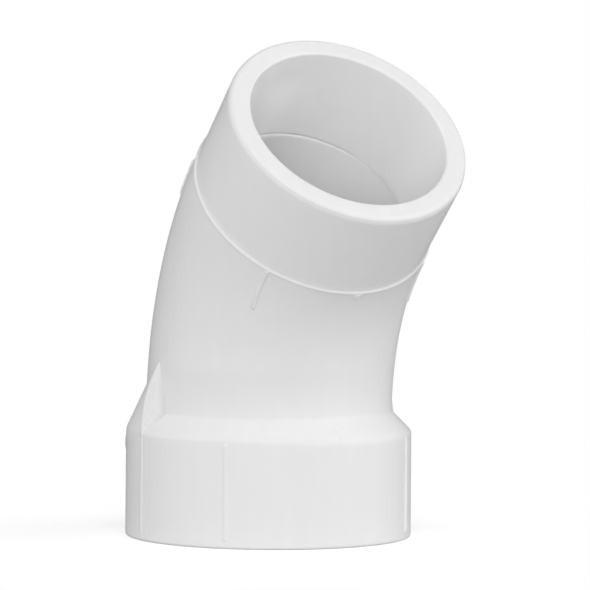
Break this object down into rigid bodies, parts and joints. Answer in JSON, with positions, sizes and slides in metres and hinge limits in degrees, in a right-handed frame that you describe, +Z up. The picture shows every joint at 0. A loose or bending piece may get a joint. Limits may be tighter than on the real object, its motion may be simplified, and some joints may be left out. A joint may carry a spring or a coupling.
{
  "type": "pvc conduit elbow",
  "caption": "White 45 degree street elbow: a belled solvent-weld socket at one end, a curved bend and a plain pipe-size spigot with a fine stop bead at the other.",
  "frame": {"origin": "centre of the hub mouth, on the hub axis", "axes": "+Z up the hub axis into the fitting; the bend leans towards +X, and the part is symmetric about the plane Y = 0"},
  "size_m": [0.077, 0.0566, 0.0976],
  "materials": {
    "white_pvc": "moulded satin gloss, opaque white"
  },
  "bodies": {
    "root": {"hub_collar": "white_pvc", "bend_tube": "white_pvc", "stop_bead": "white_pvc", "spigot_tube": "white_pvc", "side_fin_left": "white_pvc", "side_fin_right": "white_pvc"}
  },
  "joints": []
}
